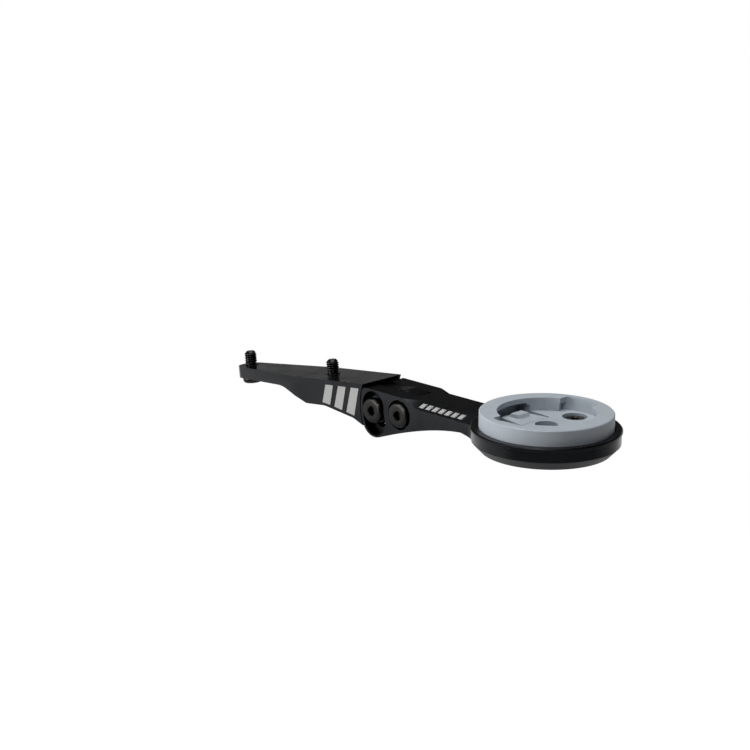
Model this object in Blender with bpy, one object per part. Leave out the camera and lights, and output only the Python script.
"""Out-front handlebar mount for a quarter-turn cycling computer.

A bracket hangs under the handlebar on two screws. A forked arm is clamped to the bracket's tongue by a
pivot bolt and a lock bolt, and ends in a cup that holds a moulded bayonet insert for the computer.

World frame: the origin is on the bracket's bar face, midway between the two bar screws. +Z points out of
that face into the bar, +X points forwards, +Y to the rider's left. The arm has its own frame: its origin is
on the pivot axis and its Z is square to the insert's top face.

Sizes below are in millimetres and degrees. Meshes are made in millimetres and scaled to metres by MM.
"""

from math import atan2, cos, hypot, pi, radians, sin, sqrt

import bmesh
import bpy
from mathutils import Matrix

MM = 0.001
GAP = 0.3                      # running clearance between neighbouring pieces

# Where the arm meets the bracket
PIVOT = (56.5, 0.0, -8.1)      # pivot axis, which runs along Y
REST_TILT = 6.8                # arm's nose-down angle from the bar face
TILT_UP = 7.0                  # tilt travel, nose up
TILT_DOWN = 17.0               # tilt travel, nose down
WIDTH = 16.0                   # bracket and fork
HALF = WIDTH / 2
TONGUE_HALF = 2.3
TONGUE_TOP = 6.3
NOSE_RADIUS = 5.6
CHEEK_REAR_RADIUS = 16.3       # the fork's rear end swings on this radius
LOCK_RADIUS = 10.95            # lock bolt from the pivot axis
LOCK_ANGLE = 184.4             # lock bolt's direction in the arm's frame, at rest

# Bracket
BAR_SCREW_X = 20.0             # the two bar screws stand this far before and behind the origin
TAIL_HALF = 4.2
TAIL_THICKNESS = 3.7
KINK_X = 10.5                  # the plan narrows behind this line
SHOULDER_RADIUS = CHEEK_REAR_RADIUS + 0.4
SHOULDER_LOW = -4.6            # bottom of the shoulder, from the pivot axis

# Bolts
SHANK_R = 2.0
HOLE_R = SHANK_R + GAP
HEAD_R = 3.7
HEAD_HEIGHT = 2.5
HEX_SOCKET_R = 1.45            # 2.5 mm across flats
POCKET_DEPTH = 2.8             # bolt head recesses in the fork's cheeks
POCKET_R = 4.5
POCKET_WALL = 0.8              # cheek left round the lower end of the lock bolt's pocket
WASHER_R = 4.0
WASHER_THICKNESS = 0.6
NUT_R = 4.0
NUT_HEIGHT = 2.2
SLEEVE_R = 2.9
FRICTION_R = 4.0
FRICTION_THICKNESS = 0.5
BAR_HEAD_R = 3.25
BAR_HEAD_HEIGHT = 1.8
BAR_SHANK_LENGTH = 8.0         # reach above the bar face, into the bar

# Arm
ARM_TOP = 5.45
BAND_TOP_HALF = 5.5            # top face's half width along the neck
BAND_LOW = 3.3                 # lower edge of the sloped band
BAND_START = 0.8
BAND_FULL = 7.4

# Cup and insert, about the cup's own axis
CUP_X = 49.7
CUP_RIM = 5.9
CUP_LOW = -0.7
CUP_LIP_R = 20.9
CUP_BAND_R = 20.6
CUP_BAND_LOW = 1.9             # bottom of the plain band; the foot is chamfered below it
CUP_FOOT_R = 18.1
CUP_FLOOR = 2.4
FILLET = 5.0                   # plan fillet between neck and cup
INSERT_R = 18.6
INSERT_TOP = 10.2
INSERT_FLOOR = 6.5
OPENING_R = 13.7
GROOVE_R = 16.3
GROOVE_HEIGHT = 2.3
NOTCH_HALF_ANGLE = 25.0        # entry notch at the opening's edge; its sides run square to the notch
NOTCH_LEAN = 4.4               # how much narrower, each side, the notch's angle is at the groove
GROOVE_PAST_NOTCH = 1.0        # how far the groove runs on past the notch, in degrees
INSERT_SCREW_X = 0.5
INSERT_SCREW_Y = 11.4
INSERT_SHANK_R = 1.5
COUNTERBORE_R = 3.55
INSERT_HOLE_R = 3.15
WINDOW_ROOT_HALF = 5.9         # window round the tongue: half widths at its root and under the rim
WINDOW_END_HALF = 7.0
WINDOW_HEIGHT = 1.7            # how far the window rises above the floor, under the rim
DETENT_ROOT_HALF = 5.6
DETENT_TIP_HALF = 3.9
DETENT_ROOT = -4.2             # flexing line of the detent tongue
DETENT_TIP = -13.2
DETENT_THICKNESS = 1.4
DETENT_REACH = -16.4           # end of the window around the tongue
DETENT_BLOCK = (-3.6, -7.7)    # the raised block's ends, from the root
DETENT_BLOCK_HALF = 2.2
DETENT_RISE = 1.2


# ---------------------------------------------------------------- outlines

def arc(centre, radius, start, end, steps):
    """Points along an arc, both ends included; angles in degrees."""
    turns = [radians(start + (end - start) * i / steps) for i in range(steps + 1)]
    return [(centre[0] + radius * cos(a), centre[1] + radius * sin(a)) for a in turns]


def bezier(start, control, end, steps):
    """Points along a quadratic curve, both ends included."""
    points = []
    for i in range(steps + 1):
        t = i / steps
        weights = ((1 - t) ** 2, 2 * t * (1 - t), t * t)
        points.append(tuple(sum(w * p[k] for w, p in zip(weights, (start, control, end))) for k in (0, 1)))
    return points


def rounded(corners, steps=6):
    """A closed outline from (u, v, radius) corners, each rounded with its own radius."""
    points = []
    count = len(corners)
    for i, (u, v, radius) in enumerate(corners):
        if radius == 0:
            points.append((u, v))
            continue
        before = corners[i - 1]
        after = corners[(i + 1) % count]
        a = (before[0] - u, before[1] - v)
        b = (after[0] - u, after[1] - v)
        la, lb = hypot(*a), hypot(*b)
        a = (a[0] / la, a[1] / la)
        b = (b[0] / lb, b[1] / lb)
        bisector = (a[0] + b[0], a[1] + b[1])
        size = hypot(*bisector)
        half_sine = sqrt((1 - (a[0] * b[0] + a[1] * b[1])) / 2)
        reach = radius / half_sine
        centre = (u + bisector[0] / size * reach, v + bisector[1] / size * reach)
        run = sqrt(reach * reach - radius * radius)
        first = (u + a[0] * run - centre[0], v + a[1] * run - centre[1])
        last = (u + b[0] * run - centre[0], v + b[1] * run - centre[1])
        begin = atan2(first[1], first[0])
        sweep = (atan2(last[1], last[0]) - begin + pi) % (2 * pi) - pi
        for j in range(steps + 1):
            angle = begin + sweep * j / steps
            points.append((centre[0] + radius * cos(angle), centre[1] + radius * sin(angle)))
    return points


def bent_slot(radius, half_width, start, end, steps=8):
    """Outline of a round-ended slot that runs along an arc about the origin."""
    far = (radius * cos(radians(end)), radius * sin(radians(end)))
    near = (radius * cos(radians(start)), radius * sin(radians(start)))
    return (
        arc((0, 0), radius + half_width, start, end, steps)
        + arc(far, half_width, end, end + 180, 2 * steps)[1:]
        + arc((0, 0), radius - half_width, end, start, steps)[1:]
        + arc(near, half_width, start + 180, start + 360, 2 * steps)[1:-1]
    )


# ---------------------------------------------------------------- solids

def prism(outline, low, high, axis):
    """A flat outline pushed from low to high along Y (outline in X, Z) or along Z (outline in X, Y)."""
    bm = bmesh.new()
    rings = []
    for level in (low, high):
        if axis == "Y":
            rings.append([bm.verts.new((u, level, v)) for u, v in outline])
        else:
            rings.append([bm.verts.new((u, v, level)) for u, v in outline])
    for ring in rings:
        bm.faces.new(ring)
    count = len(outline)
    for i in range(count):
        j = (i + 1) % count
        bm.faces.new((rings[0][i], rings[0][j], rings[1][j], rings[1][i]))
    bmesh.ops.recalc_face_normals(bm, faces=bm.faces)
    return bm


def turned(profile, steps=40):
    """A closed body turned about Z from (radius, height) points; a radius of 0 is a pole."""
    bm = bmesh.new()
    rings = []
    for radius, height in profile:
        if radius == 0:
            rings.append([bm.verts.new((0, 0, height))] * steps)
        else:
            turns = [2 * pi * i / steps for i in range(steps)]
            rings.append([bm.verts.new((radius * cos(a), radius * sin(a), height)) for a in turns])
    for lower, upper in zip(rings, rings[1:] + rings[:1]):
        for i in range(steps):
            j = (i + 1) % steps
            corners = list(dict.fromkeys((lower[i], lower[j], upper[j], upper[i])))
            if len(corners) > 2:
                bm.faces.new(corners)
    bmesh.ops.recalc_face_normals(bm, faces=bm.faces)
    return bm


def ring(inner, outer, low, high, steps=40):
    """A flat washer or sleeve standing on Z."""
    return turned([(inner, low), (outer, low), (outer, high), (inner, high)], steps)


def rod(radius, low, high, steps=40):
    return turned([(0, low), (radius, low), (radius, high), (0, high)], steps)


def together(*parts):
    """One mesh that holds several bodies that don't touch."""
    whole = bmesh.new()
    for part in parts:
        mesh = bpy.data.meshes.new("part")
        part.to_mesh(mesh)
        part.free()
        whole.from_mesh(mesh)
        bpy.data.meshes.remove(mesh)
    return whole


def moved(bm, x=0.0, y=0.0, z=0.0, turn_x=0.0):
    """The same body turned about X, then shifted."""
    bm.transform(Matrix.Translation((x, y, z)) @ Matrix.Rotation(radians(turn_x), 4, "X"))
    return bm


# ---------------------------------------------------------------- objects

def material(name, colour, roughness, metallic=0.0):
    mat = bpy.data.materials.new(name)
    mat.use_nodes = True
    shader = mat.node_tree.nodes["Principled BSDF"]
    shader.inputs["Base Color"].default_value = (*colour, 1.0)
    shader.inputs["Roughness"].default_value = roughness
    shader.inputs["Metallic"].default_value = metallic
    return mat


def add(name, bm, frame, mat=None):
    """Turn a body in millimetres into a named object, parented to its frame."""
    bm.transform(Matrix.Scale(MM, 4))
    mesh = bpy.data.meshes.new(name)
    bm.to_mesh(mesh)
    bm.free()
    obj = bpy.data.objects.new(name, mesh)
    bpy.context.scene.collection.objects.link(obj)
    obj.parent = frame
    if mat:
        mesh.materials.append(mat)
        mesh.shade_smooth()
        mesh.set_sharp_from_angle(angle=radians(30))
    return obj


def carve(target, name, bm, operation="DIFFERENCE"):
    """Cut target with a hidden helper body, or join or intersect them."""
    helper = add(name, bm, target.parent)
    helper.hide_render = True
    helper.display_type = "WIRE"
    step = target.modifiers.new(name, "BOOLEAN")
    step.operation = operation
    step.solver = "EXACT"
    step.object = helper


def empty(name, place, tilt=0.0, parent=None):
    obj = bpy.data.objects.new(name, None)
    bpy.context.scene.collection.objects.link(obj)
    obj.location = [v * MM for v in place]
    obj.rotation_euler = (0, radians(tilt), 0)
    obj.parent = parent
    return obj


# ---------------------------------------------------------------- bracket

def bracket_side():
    """Side view of the bracket's block; the front is hollowed to clear the fork's rear end."""
    x, z = PIVOT[0], PIVOT[2]
    low = 180 + atan2(-SHOULDER_LOW, sqrt(SHOULDER_RADIUS ** 2 - SHOULDER_LOW ** 2)) * 180 / pi
    high = 180 - atan2(-z, sqrt(SHOULDER_RADIUS ** 2 - z ** 2)) * 180 / pi
    shoulder = arc((x, z), SHOULDER_RADIUS, low, high, 12)
    tail_end = -BAR_SCREW_X - TAIL_HALF - 1.0
    below = rounded([
        (tail_end, 0, 0),
        (tail_end, -TAIL_THICKNESS, 0),
        (3.3, -TAIL_THICKNESS, 14),
        (15.3, -8.1, 3),
        (23.8, -8.1, 8),
        (36.5, -10.8, 8),
        (*shoulder[0], 0),
    ])
    return below + shoulder[1:]


def bracket_plan():
    """Plan of the bracket: full width in front, tapering to a round tail."""
    slope = atan2(HALF - TAIL_HALF, KINK_X + BAR_SCREW_X) * 180 / pi
    tail = arc((-BAR_SCREW_X, 0), TAIL_HALF, 90 + slope, 270 - slope, 16)
    front = PIVOT[0]
    return tail + [(KINK_X, -HALF), (front, -HALF), (front, HALF), (KINK_X, HALF)]


def tongue_side():
    """Side view of the tongue that fills the fork, about the pivot axis."""
    nose = arc((0, 0), NOSE_RADIUS, -96, 84, 24)
    points = nose + [(-2.0, TONGUE_TOP), (-17.5, TONGUE_TOP), (-18.5, -2.6), (-16.2, SHOULDER_LOW + 0.2)]
    return [(PIVOT[0] + u, PIVOT[2] + v) for u, v in points]


def lock_place():
    """The lock bolt's place in the world, from its direction in the arm's frame at rest."""
    angle = radians(LOCK_ANGLE - REST_TILT)
    return PIVOT[0] + LOCK_RADIUS * cos(angle), PIVOT[2] + LOCK_RADIUS * sin(angle)


def pivot_bore():
    """The tongue's pivot bore, with a shallow recess on each side for a friction washer."""
    recess = TONGUE_HALF - FRICTION_THICKNESS - GAP
    profile = [
        (0, -HALF), (FRICTION_R + GAP, -HALF), (FRICTION_R + GAP, -recess), (SLEEVE_R + GAP, -recess),
        (SLEEVE_R + GAP, recess), (FRICTION_R + GAP, recess), (FRICTION_R + GAP, HALF), (0, HALF),
    ]
    return moved(turned(profile, 48), PIVOT[0], 0, PIVOT[2], 90)


def bar_screw_hole(x, head_room):
    """A clearance hole with a recess below the screw's seat."""
    low = -14.0
    profile = [(0, low), (head_room, low), (head_room, -TAIL_THICKNESS), (HOLE_R, -TAIL_THICKNESS)]
    return moved(turned(profile + [(HOLE_R, 2), (0, 2)]), x)


def make_bracket(frame, mat):
    bracket = add("base_bracket", prism(bracket_side(), -HALF, HALF, "Y"), frame, mat)
    carve(bracket, "bracket_plan", prism(bracket_plan(), -30, 10, "Z"), "INTERSECT")
    carve(bracket, "tongue", prism(tongue_side(), -TONGUE_HALF, TONGUE_HALF, "Y"), "UNION")
    carve(bracket, "tongue_pivot_bore", pivot_bore())
    lock_x, lock_z = lock_place()
    carve(bracket, "tongue_lock_bore", moved(rod(HOLE_R, -HALF, HALF), lock_x, 0, lock_z, 90))
    carve(bracket, "front_screw_hole", bar_screw_hole(BAR_SCREW_X, BAR_HEAD_R + 0.85))
    carve(bracket, "rear_screw_hole", moved(rod(HOLE_R, -14, 2), -BAR_SCREW_X))
    return bracket


def bar_screw():
    """Low-head cap screw, head down, with its seat at z = 0."""
    head, high = BAR_HEAD_R, BAR_HEAD_HEIGHT
    profile = [
        (0, -high), (head - 0.5, -high), (head, 0.5 - high), (head, 0), (SHANK_R, 0),
        (SHANK_R, BAR_SHANK_LENGTH), (SHANK_R - 0.6, BAR_SHANK_LENGTH + 0.6), (0, BAR_SHANK_LENGTH + 0.6),
    ]
    return turned(profile)


def make_bar_screws(frame, mat):
    seat = -TAIL_THICKNESS - GAP
    for name, x in (("front_bar_screw", BAR_SCREW_X), ("rear_bar_screw", -BAR_SCREW_X)):
        screw = add(name, moved(bar_screw(), x, 0, seat), frame, mat)
        low = seat - BAR_HEAD_HEIGHT
        carve(screw, name + "_socket", moved(rod(HEX_SOCKET_R, low - 1, low + 1.1, 6), x))


# ---------------------------------------------------------------- bolts through the fork

def clamp_bolt(mat, name, place, frame):
    """Low-head cap bolt whose head stands 0.9 mm out of the near cheek; modelled along Z, head up."""
    head_top = HALF + 0.9
    head_seat = head_top - HEAD_HEIGHT
    end = -(HALF + 0.3)
    profile = [
        (0, end), (SHANK_R - 0.5, end), (SHANK_R, end + 0.5), (SHANK_R, head_seat), (HEAD_R, head_seat),
        (HEAD_R, head_top - 0.4), (HEAD_R - 0.4, head_top), (0, head_top),
    ]
    bolt = add(name, moved(turned(profile, 48), place[0], 0, place[1], 90), frame, mat)
    socket = moved(rod(HEX_SOCKET_R, head_top - 1.5, head_top + 1, 6), place[0], 0, place[1], 90)
    carve(bolt, name + "_socket", socket)


def washer(mat, name, place, frame, side):
    """Washer on a pocket's floor; side -1 is the near cheek and +1 the far one."""
    low = HALF - POCKET_DEPTH + GAP
    body = ring(HOLE_R, WASHER_R, low, low + WASHER_THICKNESS)
    add(name, moved(body, place[0], 0, place[1], -90 * side), frame, mat)


def nut(mat, name, place, frame):
    """Hexagon nut above the far washer, with chamfered corners and a plain bore."""
    low = HALF - POCKET_DEPTH + WASHER_THICKNESS + 2 * GAP
    body = ring(HOLE_R, NUT_R, low, low + NUT_HEIGHT, 6)
    add(name, moved(body, place[0], 0, place[1], -90), frame, mat)


def make_clamp(frame, steel, washer_mat, plastic):
    pivot = (PIVOT[0], PIVOT[2])
    for name, place in (("pivot", pivot), ("lock", lock_place())):
        clamp_bolt(steel, name + "_bolt", place, frame)
        washer(washer_mat, name + "_washer", place, frame, -1)
        washer(washer_mat, name + "_far_washer", place, frame, 1)
        nut(steel, name + "_nut", place, frame)
    inner = TONGUE_HALF - FRICTION_THICKNESS - GAP
    sleeve = ring(HOLE_R, SLEEVE_R, -inner, inner)
    add("pivot_sleeve", moved(sleeve, pivot[0], 0, pivot[1], 90), frame, washer_mat)
    for name, side in (("near_friction_washer", -1), ("far_friction_washer", 1)):
        disc = ring(SHANK_R + GAP, FRICTION_R, inner + GAP, inner + GAP + FRICTION_THICKNESS)
        add(name, moved(disc, pivot[0], 0, pivot[1], -90 * side), frame, plastic)


# ---------------------------------------------------------------- arm

def arm_side():
    """Side view of fork and neck. The underside is one long curve that flares down into the cup."""
    rear_low = 180 + 20.5
    rear_high = 180 - 19.6
    below = rounded([(-15.19, -5.92, 0), (-13.1, -10.4, POCKET_R + POCKET_WALL), (-8.5, -8.7, 0)])
    curve = bezier((-8.5, -8.7), (12.0, -0.8), (25.0, 0.2), 14)[1:]
    front = [(29.5, CUP_LOW), (CUP_X - 8, CUP_LOW), (CUP_X - 8, ARM_TOP)]
    top = rounded([(-4, ARM_TOP, 0), (-15.9, ARM_TOP, 1.8), (-15.9, 3.0, 0)])
    return below + curve + front + top[:-1] + arc((0, 0), CHEEK_REAR_RADIUS, rear_high + 6, rear_low, 8)[:-1]


def arm_plan():
    """Plan of the arm: straight sides, then a fillet on each side into the round cup."""
    reach = CUP_LIP_R + FILLET
    centre_x = CUP_X - sqrt(reach ** 2 - (HALF + FILLET) ** 2)
    toward = atan2(HALF + FILLET, CUP_X - centre_x) * 180 / pi
    right = arc((centre_x, -HALF - FILLET), FILLET, 90, toward, 10)
    left = [(u, -v) for u, v in reversed(right)]
    inside = CUP_X - 6
    return [(-20, -HALF)] + right + [(inside, right[-1][1]), (inside, -right[-1][1])] + left + [(-20, HALF)]


def band_cutter(side):
    """Wedge that slopes the neck's upper edge; it starts as a point and reaches full depth further on."""
    rise = ARM_TOP - BAND_LOW
    run = HALF - BAND_TOP_HALF
    out = 3.0
    section = [
        (BAND_TOP_HALF - out * run / rise, ARM_TOP + out),
        (HALF + out * run / rise, BAND_LOW - out),
        (HALF + 3 * out, BAND_LOW - out),
        (HALF + 3 * out, ARM_TOP + out),
    ]
    bm = bmesh.new()
    for x in (BAND_FULL, CUP_X):
        for y, z in section:
            bm.verts.new((x, side * y, z))
    lead = BAND_FULL - BAND_START
    bm.verts.new((BAND_START - 0.2 * lead, side * (HALF + 0.2 * run), ARM_TOP + 0.2 * rise))
    bmesh.ops.convex_hull(bm, input=bm.verts)
    bmesh.ops.recalc_face_normals(bm, faces=bm.faces)
    return bm


def fork_slot():
    """Slot that takes the tongue; its front end is round about the pivot axis."""
    radius = NOSE_RADIUS + 0.7
    front = arc((0, 0), radius, -60, 60, 16)
    deep = 14.0
    return [(front[0][0], -deep)] + front + [(front[-1][0], deep), (-22, deep), (-22, -deep)]


def cup_body():
    """The cup without its pocket: a proud lip, a plain band and a chamfered foot."""
    profile = [
        (0, CUP_LOW), (CUP_FOOT_R, CUP_LOW), (CUP_BAND_R, CUP_BAND_LOW), (CUP_BAND_R, CUP_RIM - 1.1),
        (CUP_LIP_R, CUP_RIM - 0.8), (CUP_LIP_R, CUP_RIM - 0.3), (CUP_LIP_R - 0.3, CUP_RIM), (0, CUP_RIM),
    ]
    return moved(turned(profile, 96), CUP_X)


def bolt_pocket():
    """Stepped bore of the pivot bolt, through both cheeks."""
    step = HALF - POCKET_DEPTH
    high = HALF + 2
    profile = [
        (0, -high), (POCKET_R, -high), (POCKET_R, -step), (HOLE_R, -step),
        (HOLE_R, step), (POCKET_R, step), (POCKET_R, high), (0, high),
    ]
    return moved(turned(profile, 48), turn_x=90)


def make_arm(frame, mat):
    arm = add("arm", prism(arm_side(), -HALF - 6, HALF + 6, "Y"), frame, mat)
    carve(arm, "arm_plan", prism(arm_plan(), -14, 12, "Z"), "INTERSECT")
    carve(arm, "neck_bands", together(band_cutter(-1), band_cutter(1)))
    carve(arm, "cup", cup_body(), "UNION")
    hole = INSERT_SHANK_R + GAP
    sides = (-1, 1)
    holes = [moved(rod(hole, -4, 8, 24), CUP_X + s * INSERT_SCREW_X, s * INSERT_SCREW_Y) for s in sides]
    carve(arm, "insert_screw_threads", together(*holes))
    carve(arm, "cup_pocket", moved(rod(INSERT_R + GAP, CUP_FLOOR, 14, 96), CUP_X))
    slot_half = TONGUE_HALF + GAP
    carve(arm, "fork_slot", prism(fork_slot(), -slot_half, slot_half, "Y"))
    carve(arm, "pivot_pocket", bolt_pocket())
    sweep = (LOCK_ANGLE - TILT_UP, LOCK_ANGLE + TILT_DOWN)
    step = HALF - POCKET_DEPTH
    pocket = bent_slot(LOCK_RADIUS, POCKET_R, *sweep)
    pockets = [prism(pocket, *span, "Y") for span in ((-HALF - 2, -step), (step, HALF + 2))]
    carve(arm, "lock_pockets", together(*pockets))
    carve(arm, "lock_slot", prism(bent_slot(LOCK_RADIUS, SHANK_R + 0.4, *sweep), -HALF - 1, HALF + 1, "Y"))
    return arm


# ---------------------------------------------------------------- insert

def bayonet_outline(sectors, lean=0.0, steps_per_degree=0.25):
    """Opening's outline with sectors, given in degrees, that reach out to the groove's radius.

    A sector is narrower by lean degrees at each side where it meets the groove's radius.
    """
    begin = 135.0
    points = []
    previous = begin
    for start, end in sectors:
        for radius, low, high in ((OPENING_R, previous, start), (GROOVE_R, start + lean, end - lean)):
            steps = max(2, int((high - low) * steps_per_degree))
            points += arc((CUP_X, 0), radius, low, high, steps)
        previous = end
    return points + arc((CUP_X, 0), OPENING_R, previous, begin + 360, 6)[:-1]


def make_insert(frame, mat):
    foot = CUP_FLOOR + GAP
    profile = [
        (0, foot), (INSERT_R, foot), (INSERT_R, INSERT_TOP - 0.25), (INSERT_R - 0.25, INSERT_TOP),
        (0, INSERT_TOP),
    ]
    insert = add("computer_insert", moved(turned(profile, 96), CUP_X), frame, mat)
    half = NOTCH_HALF_ANGLE
    grooves = [(180 - half, 270 + half + GROOVE_PAST_NOTCH), (360 - half, 450 + half + GROOVE_PAST_NOTCH)]
    ceiling = INSERT_FLOOR + GROOVE_HEIGHT
    carve(insert, "bayonet_groove", prism(bayonet_outline(grooves), INSERT_FLOOR, ceiling, "Z"))
    notches = [(270 - half, 270 + half), (450 - half, 450 + half)]
    above = INSERT_TOP + 2
    carve(insert, "bayonet_mouth", prism(bayonet_outline(notches, NOTCH_LEAN), INSERT_FLOOR + 1, above, "Z"))
    bores = [moved(stepped_bore(), CUP_X + side * INSERT_SCREW_X, side * INSERT_SCREW_Y) for side in (-1, 1)]
    centre_hole = moved(rod(INSERT_HOLE_R, 0, 8, 40), CUP_X)
    carve(insert, "insert_bores", together(centre_hole, *bores))
    end, root = CUP_X + DETENT_REACH, CUP_X + DETENT_ROOT + GAP
    window = [
        (end, -WINDOW_END_HALF), (root, -WINDOW_ROOT_HALF), (root, WINDOW_ROOT_HALF), (end, WINDOW_END_HALF),
    ]
    carve(insert, "detent_window", prism(window, 0, INSERT_FLOOR + WINDOW_HEIGHT, "Z"))


def stepped_bore():
    """Counterbored screw hole through the insert's floor."""
    shank, step = INSERT_SHANK_R + GAP, 4.4
    profile = [(0, 0), (shank, 0), (shank, step), (COUNTERBORE_R, step), (COUNTERBORE_R, 8), (0, 8)]
    return turned(profile)


def make_insert_screws(frame, mat):
    """Small flat-head screws that hold the insert down in the cup."""
    for name, side in (("right_insert_screw", -1), ("left_insert_screw", 1)):
        profile = [
            (0, 0.0), (INSERT_SHANK_R, 0.0), (INSERT_SHANK_R, 4.7), (2.9, 4.7), (2.9, 5.7), (2.6, 6.0),
            (0, 6.0),
        ]
        x, y = CUP_X + side * INSERT_SCREW_X, side * INSERT_SCREW_Y
        screw = add(name, moved(turned(profile, 32), x, y), frame, mat)
        carve(screw, name + "_socket", moved(rod(1.15, 5.0, 7, 6), x, y))


def make_detent(frame, mat):
    """Spring tongue: a flat leaf with a ramped block near its tip that clicks into the computer's foot.

    Its frame stands at the root of the leaf, level with the insert's floor.
    """
    low = -DETENT_THICKNESS
    tip = DETENT_TIP - DETENT_ROOT
    block = [
        (DETENT_BLOCK[0], low / 2), (DETENT_BLOCK[0], 0), (DETENT_BLOCK[0] - 0.7, DETENT_RISE),
        (DETENT_BLOCK[1] + 0.7, DETENT_RISE), (DETENT_BLOCK[1], 0), (DETENT_BLOCK[1], low / 2),
    ]
    root, end = DETENT_ROOT_HALF, DETENT_TIP_HALF
    leaf = [(tip, -end), (0, -root), (0, root), (tip, end)]
    tongue = add("detent_tongue", prism(leaf, low, 0, "Z"), frame, mat)
    carve(tongue, "detent_block", prism(block, -DETENT_BLOCK_HALF, DETENT_BLOCK_HALF, "Y"), "UNION")


# ---------------------------------------------------------------- assembly

def clear_scene():
    for obj in list(bpy.data.objects):
        bpy.data.objects.remove(obj, do_unlink=True)


def main():
    clear_scene()
    black = material("black_anodised_aluminium", (0.02, 0.02, 0.022), 0.38, 0.9)
    steel = material("black_oxide_steel", (0.05, 0.05, 0.052), 0.42, 0.9)
    plain_steel = material("stainless_washer", (0.45, 0.45, 0.46), 0.35, 1.0)
    nylon = material("black_nylon", (0.03, 0.03, 0.03), 0.6)
    plastic = material("blue_grey_plastic", (0.45, 0.5, 0.55), 0.5)

    bracket_frame = empty("bracket_frame", (0, 0, 0))
    make_bracket(bracket_frame, black)
    make_bar_screws(bracket_frame, steel)
    make_clamp(bracket_frame, steel, plain_steel, nylon)

    arm_frame = empty("arm_tilt", PIVOT, REST_TILT)
    make_arm(arm_frame, black)
    make_insert(arm_frame, plastic)
    make_insert_screws(arm_frame, steel)
    detent_frame = empty("detent_flex", (CUP_X + DETENT_ROOT, 0, INSERT_FLOOR), 0, arm_frame)
    make_detent(detent_frame, plastic)


main()
